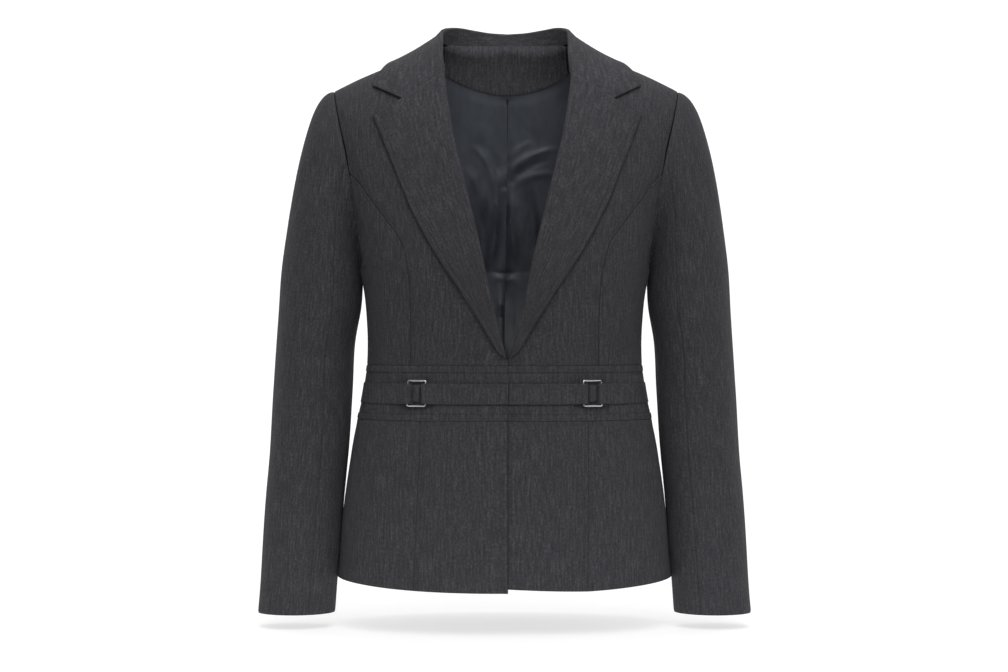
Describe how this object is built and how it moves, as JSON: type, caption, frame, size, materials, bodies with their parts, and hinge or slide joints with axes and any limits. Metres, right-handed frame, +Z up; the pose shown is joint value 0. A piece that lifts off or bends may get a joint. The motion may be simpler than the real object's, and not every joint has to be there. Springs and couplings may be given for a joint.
{
  "type": "blazer",
  "caption": "Women's fitted single-breasted blazer in charcoal suiting, filled out with no wearer, with notch lapels, belted waistband and wire buckles.",
  "frame": {"origin": "on the middle line between the front and back of the neck, level with the inner ends of the shoulder seams, where the coat is held by the wearer's neck and shoulders", "axes": "+Z up the coat from hem to collar; +X towards the wearer's left; the front faces -Y"},
  "size_m": [0.5648, 0.2487, 0.6693],
  "materials": {
    "suiting": "dark charcoal melange suiting, plain weave with fine upright slubs, matt",
    "satin_lining": "dark navy satin lining, soft sheen",
    "buckle_metal": "polished silver-coloured wire"
  },
  "bodies": {
    "root": {"back_left": "suiting", "back_right": "suiting", "back_neck_facing": "suiting", "belt_centre_left": "suiting", "belt_centre_right": "suiting", "belt_side_left": "suiting", "belt_side_right": "suiting", "collar": "suiting", "front_centre_left": "suiting", "front_centre_right": "suiting", "front_side_left": "suiting", "front_side_right": "suiting", "lapel_left": "suiting", "lapel_right": "suiting", "skirt_back_left": "suiting", "skirt_back_right": "suiting", "skirt_front_centre_left": "suiting", "skirt_front_centre_right": "suiting", "skirt_front_side_left": "suiting", "skirt_front_side_right": "suiting", "sleeve_under_left": "suiting", "sleeve_under_right": "suiting", "sleeve_upper_left": "suiting", "sleeve_upper_right": "suiting", "waistband_back": "suiting", "waistband_front_left": "suiting", "waistband_front_right": "suiting", "lining_back_left": "satin_lining", "lining_back_right": "satin_lining", "buckle_left": "buckle_metal", "buckle_right": "buckle_metal"}
  },
  "joints": []
}
